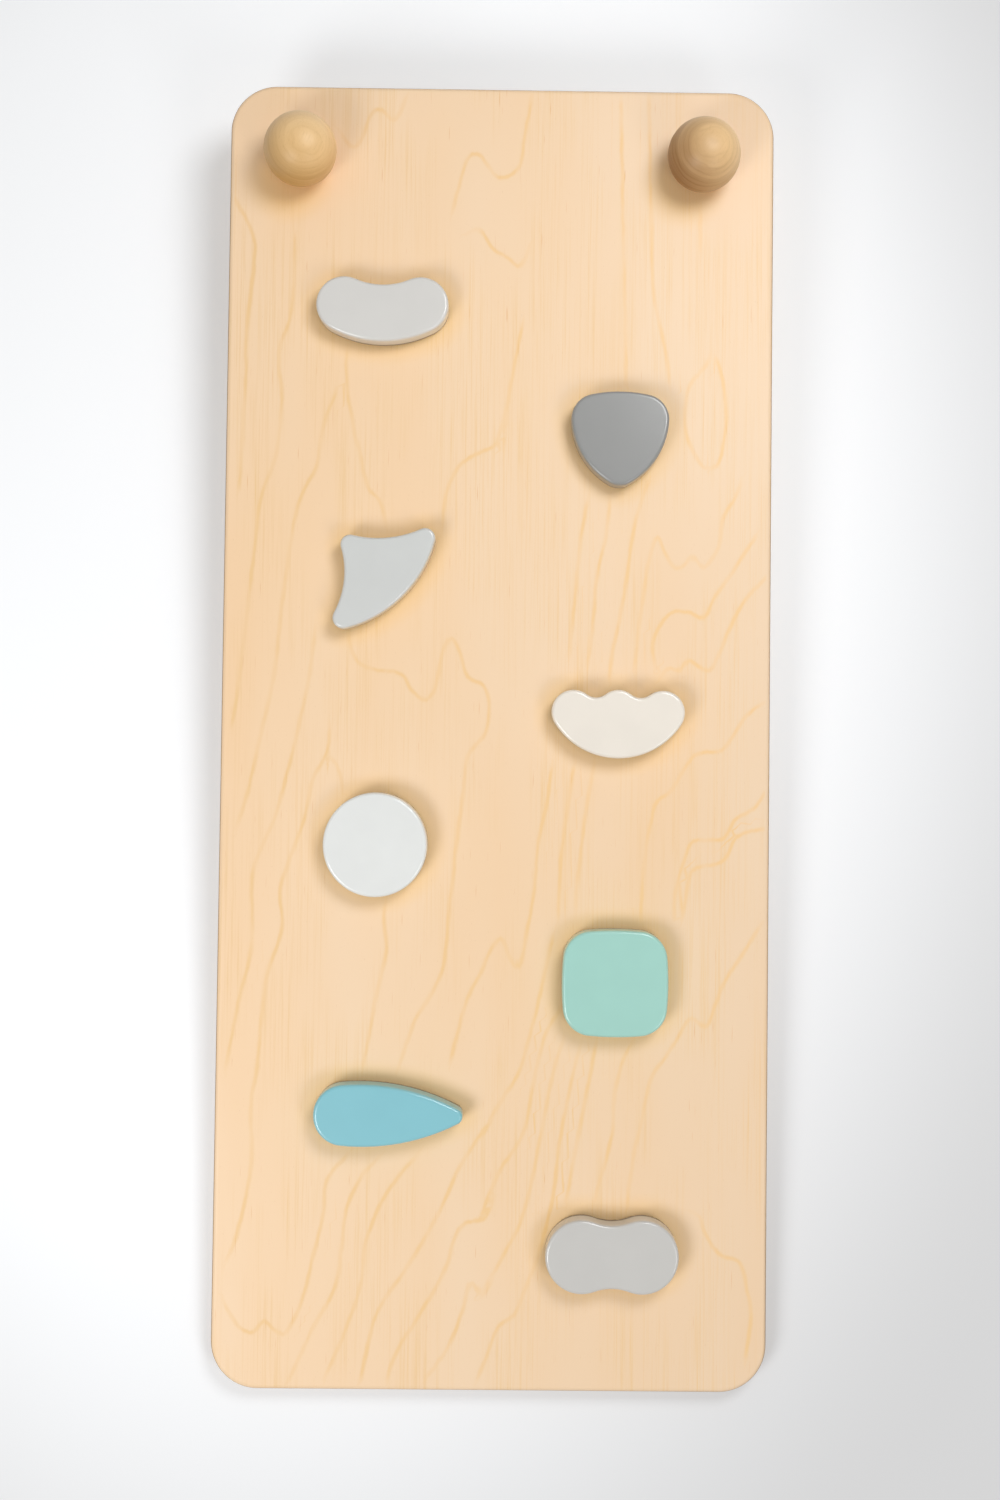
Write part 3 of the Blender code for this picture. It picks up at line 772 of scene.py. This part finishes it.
# Ball knobs, each on a flanged insert over a washer
knob = {
    "x": 0.1672,
    "y": 0.4802,
    "radius": 0.030,
    "footRadius": 0.015,
    "footRound": 0.0006,
    "seat": 0.0021,
    "boreRadius": 0.0066,
    "boreDepth": 0.0183,
    "boreTip": 0.004,
    "mouthRadius": 0.0084,
    "mouthDepth": 0.0015,
    "sides": 112,
    "rings": 56,
}
washer = {"inner": 0.0045, "outer": 0.013, "thickness": 0.0015, "round": 0.0004, "seat": 0.0003}
insert = {
    "bore": 0.0043,
    "outer": 0.0063,
    "collar": 0.0081,
    "collarThickness": 0.0012,
    "length": 0.0180,
    "threadPitch": 0.0025,
    "threadDepth": 0.0007,
}
stud = {"radius": 0.004, "half": 0.0271, "chamfer": 0.0008, "pitch": 0.00125, "threadDepth": 0.00065}


def ballProfile():
    depth, bore, mouth = knob["boreDepth"], knob["boreRadius"], knob["mouthRadius"]
    centre = math.sqrt(knob["radius"] ** 2 - knob["footRadius"] ** 2)
    profile = [(0, depth + knob["boreTip"]), (bore, depth), (bore, knob["mouthDepth"])]
    profile += [(mouth, knob["mouthDepth"]), (mouth, 0), (knob["footRadius"] - knob["footRound"], 0)]
    profile += [(knob["footRadius"] - 0.3 * knob["footRound"], 0.25 * knob["footRound"])]
    start = math.asin(knob["footRadius"] / knob["radius"]) + 0.012
    for i in range(knob["rings"]):
        angle = start + (math.pi - start) * i / knob["rings"]
        profile.append((knob["radius"] * math.sin(angle), centre - knob["radius"] * math.cos(angle)))
    return profile + [(0, centre + knob["radius"])]


def turnedBeech(name, centre, look, seed):
    # Oiled beech turned on a lathe: flat growth layers cut by the ball show as soft rings round a pole,
    # with short dark flecks along the fibres. Each ball grows paler towards one side: on the front knobs
    # this is painted light falling from the upper right, on the rear knobs a paler tone of the wood.
    material, tree, shader = newMaterial(name)
    coords = addNode(tree, "ShaderNodeTexCoord").outputs["Object"]
    turned = (lean.to_3x3() @ Vector(look["pole"])).to_track_quat("Z", "Y").to_euler()
    fitted = {"Location": centre, "Rotation": turned, "Scale": (millimetre,) * 3}
    place = addNode(tree, "ShaderNodeMapping", coords, fitted, vector_type="TEXTURE")
    bands = patternNoise(tree, place, (110, 110, 1.6 * knobWood["layer"]), 4.0, 0.6, seed)
    bands = addNode(tree, "ShaderNodeMapRange", bands, 0.32, 0.68, -0.1, 0.1)
    level = addNode(tree, "ShaderNodeSeparateXYZ", place).outputs["Z"]
    bent = patternNoise(tree, place, (26, 26, 14), seed=seed)
    bent = addNode(tree, "ShaderNodeMath", bent, 2.5, operation="MULTIPLY")
    layers = addNode(tree, "ShaderNodeMath", level, 1 / knobWood["layer"], bent, operation="MULTIPLY_ADD")
    late = addNode(tree, "ShaderNodeMath", layers, 0.5, operation="PINGPONG")
    late = addNode(tree, "ShaderNodeMapRange", late, 0.30, 0.5, 0.0, 0.06, interpolation_type="SMOOTHSTEP")
    bands = addNode(tree, "ShaderNodeMath", bands, late, operation="ADD")
    # painted light: each front ball is paler towards the upper right, where the lamp falls, and darker away
    # from it
    paleSideAndPaintedLight = lean.to_3x3() @ Vector(look["paleSideAndPaintedLight"]).normalized() / knob["radius"]
    side = addNode(tree, "ShaderNodeVectorMath", coords, centre, operation="SUBTRACT")
    side = addNode(tree, "ShaderNodeVectorMath", side, paleSideAndPaintedLight, operation="DOT_PRODUCT")
    tone = addNode(tree, "ShaderNodeMapRange", side.outputs["Value"], 1.0, -1.0, 0.0, 1.0)
    tone = addNode(tree, "ShaderNodeMath", tone, bands, operation="ADD")
    wood = addNode(tree, "ShaderNodeMix", tone, look["pale"], look["dark"], data_type="RGBA")
    fibre = patternNoise(tree, place, (9, 0.7, 0.7), detail=3, seed=seed)
    streak = addNode(tree, "ShaderNodeMapRange", fibre, 0.55, 0.78, 0.0, 0.25)
    wood = addNode(tree, "ShaderNodeMix", streak, wood, knobWood["fleck"], data_type="RGBA")
    rough = addNode(tree, "ShaderNodeMapRange", fibre, 0.3, 0.7, 0.40, 0.48)
    bump = addNode(tree, "ShaderNodeBump", {"Height": fibre, "Distance": 0.00002})
    connect(tree, shader, baseColor=wood, roughness=rough, normal=bump)
    return material


def mouldedRubber():
    # Black moulded rubber: dull, with a fine dusty grain
    material, tree, shader = newMaterial("mouldedRubber")
    dust = patternNoise(tree, boardPlace(tree), (0.4, 0.4, 0.4), detail=3)
    colour = addNode(tree, "ShaderNodeMix", dust, "252526", "343435", data_type="RGBA")
    rough = addNode(tree, "ShaderNodeMapRange", dust, 0.3, 0.7, 0.7, 0.85)
    bump = addNode(tree, "ShaderNodeBump", {"Height": dust, "Distance": 0.00005})
    connect(tree, shader, baseColor=colour, roughness=rough, normal=bump)
    return material


def metalFinish(name, bright, dull, roughness, size):
    # Metal with faint patches of duller surface, of the given size in millimetres
    material, tree, shader = newMaterial(name)
    shader.inputs["Metallic"].default_value = 1.0
    patches = patternNoise(tree, boardPlace(tree), size, detail=3)
    colour = addNode(tree, "ShaderNodeMix", patches, bright, dull, data_type="RGBA")
    rough = addNode(tree, "ShaderNodeMapRange", patches, 0.3, 0.7, *roughness)
    bump = addNode(tree, "ShaderNodeBump", {"Height": patches, "Distance": 0.00001})
    connect(tree, shader, baseColor=colour, roughness=rough, normal=bump)
    return material


def buildKnobs(rubber, brass, zinc):
    ballCentre = knob["seat"] + math.sqrt(knob["radius"] ** 2 - knob["footRadius"] ** 2)
    inner, outer, tall, rounded = washer["inner"], washer["outer"], washer["thickness"], washer["round"]
    washerProfile = [(inner, 0), (outer - rounded, 0), (outer, rounded), (outer, tall - rounded)]
    washerProfile += [(outer - rounded, tall), (inner, tall)]
    for number, (name, across, side) in enumerate(
        [
            ("front_left_knob", -1, 1),
            ("front_right_knob", 1, 1),
            ("rear_left_knob", -1, -1),
            ("rear_right_knob", 1, -1),
        ]
    ):
        turnOver = Matrix() if side > 0 else Matrix.Rotation(math.pi, 4, "Y")
        axis = Matrix.Translation((across * knob["x"], knob["y"], side * frontFace)) @ turnOver
        words = name.replace("_", " ").title().replace(" ", "")
        piece = words[0].lower() + words[1:]

        centre = lean @ axis @ Vector((0, 0, ballCentre))
        beech = turnedBeech(piece + "Beech", centre, knobLooks[name], number + 1)
        seat = axis @ Matrix.Translation((0, 0, knob["seat"]))
        addPiece(piece, turnedMesh(ballProfile(), knob["sides"]), beech, name, [name], seat)

        ring = turnedMesh(washerProfile, 72, ring=True)
        washerSeat = axis @ Matrix.Translation((0, 0, washer["seat"]))
        pad = [name + "_washer"]
        addPiece(piece + "Washer", ring, rubber, name + "_seat", pad, washerSeat)

        collar, flange = insert["collar"], insert["collarThickness"]
        rows = round((insert["length"] - flange) / 0.00035)
        rise = (insert["length"] - flange) / rows
        profile = [(insert["bore"], 0), (collar, 0), (collar, flange)]
        profile += [(insert["outer"], flange + rise * i) for i in range(rows + 1)]
        profile += [(insert["bore"], insert["length"])]
        sleeve = turnedMesh(profile, 40, ring=True)
        cutThread(
            sleeve, insert["outer"], insert["threadDepth"], insert["threadPitch"], flange, insert["length"]
        )
        addPiece(piece + "Insert", sleeve, brass, name, [name + "_insert"], seat)
    for name, across in (("left", -1), ("right", 1)):
        half, chamfer = stud["half"], stud["chamfer"]
        rows = round(2 * (half - chamfer) / (stud["pitch"] / 8))
        rise = 2 * (half - chamfer) / rows
        profile = [(0, -half), (stud["radius"] - chamfer, -half)]
        profile += [(stud["radius"], chamfer - half + rise * i) for i in range(rows + 1)]
        profile += [(stud["radius"] - chamfer, half), (0, half)]
        rod = turnedMesh(profile, 32)
        cutThread(rod, stud["radius"], stud["threadDepth"], stud["pitch"], -half, half)
        place = Matrix.Translation((across * knob["x"], knob["y"], 0))
        addPiece(name + "Stud", rod, zinc, "ramp", [name + "_stud"], place)
    print("knobs: 4, studs: 2")


# Each ball's beech: the way its growth layers face and the side that is paler, in the board's frame,
# and its lightest and darkest tones, where on the front knobs the paler side is painted light from the
# upper right; and for all, the layers' thickness in millimetres and the flecks
knobWood = {"layer": 3.8, "fleck": "B07F49"}
knobLooks = {
    "front_left_knob": {
        "pole": (0.27, -0.05, 0.96),
        "paleSideAndPaintedLight": (0.50, 0.82, 0.30),
        "pale": "FBD6A0",
        "dark": "BF9250",
    },
    "front_right_knob": {
        "pole": (0.12, -0.03, 0.99),
        "paleSideAndPaintedLight": (0.82, 0.48, 0.30),
        "pale": "F3CD97",
        "dark": "8B5F2F",
    },
    "rear_left_knob": {
        "pole": (-0.4, 0.3, -1.0),
        "paleSideAndPaintedLight": (-0.6, 0.2, 0.4),
        "pale": "F0CC98",
        "dark": "BA8E58",
    },
    "rear_right_knob": {
        "pole": (0.2, -0.5, -1.0),
        "paleSideAndPaintedLight": (0.3, -0.8, 0.3),
        "pale": "EFCA95",
        "dark": "B48753",
    },
}

screw = {
    "Head Diameter": 0.0080,
    "Head Land": 0.0004,
    "Shank Diameter": 0.0040,
    "Length": 0.0305,
    "Thread Pitch": 0.0018,
    "Thread Depth": 0.0008,
    "Recess Width": 0.0044,
    "Recess Slot": 0.0009,
    "Recess Depth": 0.0020,
}
screwHeadBelowFace = 0.0003


def screwTree():
    # One screw as a rod whose radius follows the head, the thread and the point, with a cross cut in
    # the head, set at every point of the mesh it is given and turned at random
    tree = bpy.data.node_groups.new("countersunkScrews", "GeometryNodeTree")
    face = tree.interface
    face.new_socket("Points", in_out="INPUT", socket_type="NodeSocketGeometry")
    for name in screw:
        face.new_socket(name, in_out="INPUT", socket_type="NodeSocketFloat")
    face.new_socket("Seed", in_out="INPUT", socket_type="NodeSocketInt")
    face.new_socket("Finish", in_out="INPUT", socket_type="NodeSocketMaterial")
    face.new_socket("Screws", in_out="OUTPUT", socket_type="NodeSocketGeometry")
    sizes = addNode(tree, "NodeGroupInput").outputs

    rows = {"Vertices": 24, "Side Segments": 150, "Radius": 1.0, "Depth": sizes["Length"]}
    rod = addNode(tree, "GeometryNodeMeshCylinder", rows)
    spot = addNode(tree, "ShaderNodeSeparateXYZ", addNode(tree, "GeometryNodeInputPosition")).outputs
    x, y = spot["X"], spot["Y"]
    level = addNode(tree, "ShaderNodeMath", sizes["Length"], 0.5, spot["Z"], operation="MULTIPLY_ADD")
    below = addNode(tree, "ShaderNodeMath", level, sizes["Head Land"], operation="SUBTRACT")
    below = addNode(tree, "ShaderNodeMath", below, 0.0, operation="MAXIMUM")
    rim = addNode(tree, "ShaderNodeMath", sizes["Head Diameter"], 0.5, operation="MULTIPLY")
    head = addNode(tree, "ShaderNodeMath", rim, below, operation="SUBTRACT")

    angle = addNode(tree, "ShaderNodeMath", y, x, operation="ARCTAN2")
    angle = addNode(tree, "ShaderNodeMath", angle, 2 * math.pi, operation="DIVIDE")
    turns = addNode(tree, "ShaderNodeMath", level, sizes["Thread Pitch"], operation="DIVIDE")
    turns = addNode(tree, "ShaderNodeMath", turns, angle, operation="SUBTRACT")
    wave = addNode(tree, "ShaderNodeMath", turns, 0.5, operation="PINGPONG")
    groove = addNode(tree, "ShaderNodeMapRange", wave, 0.0, 0.25, sizes["Thread Depth"], 0.0)
    crest = addNode(tree, "ShaderNodeMath", sizes["Shank Diameter"], 0.5, operation="MULTIPLY")
    shank = addNode(tree, "ShaderNodeMath", crest, groove, operation="SUBTRACT")
    left = addNode(tree, "ShaderNodeMath", sizes["Length"], level, operation="SUBTRACT")
    point = addNode(tree, "ShaderNodeMath", left, 0.5, 0.0002, operation="MULTIPLY_ADD")
    radius = addNode(tree, "ShaderNodeMath", head, shank, operation="MAXIMUM")
    radius = addNode(tree, "ShaderNodeMath", radius, point, operation="MINIMUM")
    x = addNode(tree, "ShaderNodeMath", x, radius, operation="MULTIPLY")
    y = addNode(tree, "ShaderNodeMath", y, radius, operation="MULTIPLY")
    place = addNode(tree, "ShaderNodeCombineXYZ", x, y, level)
    shaped = addNode(tree, "GeometryNodeSetPosition", rod, {"Position": place})

    deep = addNode(tree, "ShaderNodeMath", sizes["Recess Depth"], 2.0, operation="MULTIPLY")
    for width, slot in (("Recess Width", "Recess Slot"), ("Recess Slot", "Recess Width")):
        size = addNode(tree, "ShaderNodeCombineXYZ", sizes[width], sizes[slot], deep)
        wing = addNode(tree, "GeometryNodeMeshCube", size)
        cut = {"Mesh 1": shaped, "Mesh 2": wing}
        shaped = addNode(tree, "GeometryNodeMeshBoolean", cut, operation="DIFFERENCE")
    spin = addNode(
        tree,
        "FunctionNodeRandomValue",
        (0, 0, 0),
        (0, 0, 2 * math.pi),
        {"Seed": sizes["Seed"]},
        data_type="FLOAT_VECTOR",
    )
    spread = {"Points": sizes["Points"], "Instance": shaped, "Rotation": spin}
    spread = addNode(tree, "GeometryNodeInstanceOnPoints", spread)
    real = addNode(tree, "GeometryNodeRealizeInstances", spread)
    finished = addNode(tree, "GeometryNodeSetMaterial", real, {"Material": sizes["Finish"]})
    addNode(tree, "NodeGroupOutput", finished)
    return tree


def buildScrews(zinc):
    points = bmesh.new()
    nodes = []
    for name, hold in holds.items():
        for i, offset in enumerate(hold["screws"], start=1):
            x, y = (Vector(hold["centre"]) + Vector(offset)) * millimetre
            points.verts.new((x, y, screwHeadBelowFace - frontFace))
            nodes.append(f"{name}_hold_screw_{i}")
    holder = meshHolder("screwPoints", points)
    tree = screwTree()
    modifier = holder.modifiers.new("screws", "NODES")
    modifier.node_group = tree
    for socket in tree.interface.items_tree:
        if socket.in_out == "INPUT":
            if socket.name in screw:
                modifier[socket.identifier] = screw[socket.name]
            elif socket.name == "Seed":
                modifier[socket.identifier] = 4
            elif socket.name == "Finish":
                modifier[socket.identifier] = zinc
    addPiece("holdScrews", evaluatedMesh(holder), zinc, "ramp", nodes)
    print("screws:", len(nodes))


# Pale floor: it takes the shadow, and looks lighter to the camera and in reflections, most of all far
# away, where the lamps don't reach. Its colour is a painted pool of light, lightest in a long pool to
# the left of the board's middle and darker away from it.
floorLook = {
    "size": 8.0,
    "near": "F3F6FA",
    "far": "C3C4C6",
    "pool": (-0.18, 0.21, 0),
    "long": 1.52,
    "fade": (0.35, 0.76),
    "lift": 0.19,
    "farLift": 0.74,
    "lampsEnd": (0.85, 2.0),
}


def buildFloor():
    mesh = bmesh.new()
    reach = floorLook["size"]
    corners = [mesh.verts.new((x * reach, y * reach, 0)) for x, y in ((-1, -1), (1, -1), (1, 1), (-1, 1))]
    mesh.faces.new(corners)
    floor = meshHolder("floor", mesh)
    material, tree, shader = newMaterial("paleFloor")
    shader.inputs["Roughness"].default_value = 0.9
    shader.inputs["Specular IOR Level"].default_value = 0.0
    shader.inputs["Emission Color"].default_value = (1, 1, 1, 1)
    coords = addNode(tree, "ShaderNodeTexCoord").outputs["Object"]
    pool = {"Location": floorLook["pool"], "Scale": (1, floorLook["long"], 1)}
    away = addNode(tree, "ShaderNodeMapping", coords, pool, vector_type="TEXTURE")
    away = addNode(tree, "ShaderNodeVectorMath", away, operation="LENGTH").outputs["Value"]
    # painted pool of light: the floor's colour is palest in the pool and darker away from it
    pale = addNode(tree, "ShaderNodeMapRange", away, *floorLook["fade"], interpolation_type="SMOOTHSTEP")
    colour = addNode(tree, "ShaderNodeMix", pale, floorLook["near"], floorLook["far"], data_type="RGBA")
    lifts = (*floorLook["lampsEnd"], floorLook["lift"], floorLook["farLift"])
    lift = addNode(tree, "ShaderNodeMapRange", away, *lifts, interpolation_type="SMOOTHSTEP")
    glow = addNode(tree, "ShaderNodeMath", seenByCamera(tree), lift, operation="MULTIPLY")
    connect(tree, shader, baseColor=colour, emissionStrength=glow)
    floor.data.materials.append(material)


# Studio lamps, each a soft disc aimed at the middle of the board, and an even sky, which looks lighter
# to the camera than it shines
lamps = {
    "upperRight": {"place": (0.55, 0.64, 1.30), "size": 0.65, "power": 9.4},
    "lowerLeft": {"place": (-0.95, -0.95, 1.35), "size": 0.80, "power": 12.5},
    "lowerRight": {"place": (1.06, -1.06, 1.40), "size": 0.70, "power": 5.8},
}
lampAim = Vector((0, 0, 0.05))
sky = {"lights": 0.31, "seen": 0.92, "colour": "FFFBF5"}


def buildLights():
    for name, lamp in lamps.items():
        data = bpy.data.lights.new(name, "AREA")
        data.shape = "DISK"
        data.size = lamp["size"]
        data.energy = lamp["power"]
        light = bpy.data.objects.new(name, data)
        place = Vector(lamp["place"])
        aim = (lampAim - place).to_track_quat("-Z", "Y").to_matrix().to_4x4()
        light.matrix_world = Matrix.Translation(place) @ aim
        bpy.context.scene.collection.objects.link(light)
    world = bpy.data.worlds.new("studio")
    bpy.context.scene.world = world
    world.use_nodes = True
    tree = world.node_tree
    seen = seenByCamera(tree)
    level = addNode(tree, "ShaderNodeMapRange", seen, 0.0, 1.0, sky["lights"], sky["seen"])
    tint = addNode(tree, "ShaderNodeMix", seen, sky["colour"], "FFFFFF", data_type="RGBA")
    tree.nodes.remove(tree.nodes["Background"])
    background = addNode(tree, "ShaderNodeBackground", tint, level)
    tree.links.new(background.outputs[0], tree.nodes["World Output"].inputs["Surface"])
    bpy.context.scene.view_settings.view_transform = "Standard"


buildBoard(birchPlywood())
buildHolds()
zincPlatedSteel = metalFinish("zincPlatedSteel", "C4C6C8", "A9ABAE", (0.26, 0.40), (1.2, 1.2, 1.2))
machinedBrass = metalFinish("machinedBrass", "D2AC55", "BC9340", (0.22, 0.36), (2.0, 2.0, 0.3))
buildKnobs(mouldedRubber(), machinedBrass, zincPlatedSteel)
buildScrews(zincPlatedSteel)
buildFloor()
buildLights()

print("stage and lights set")
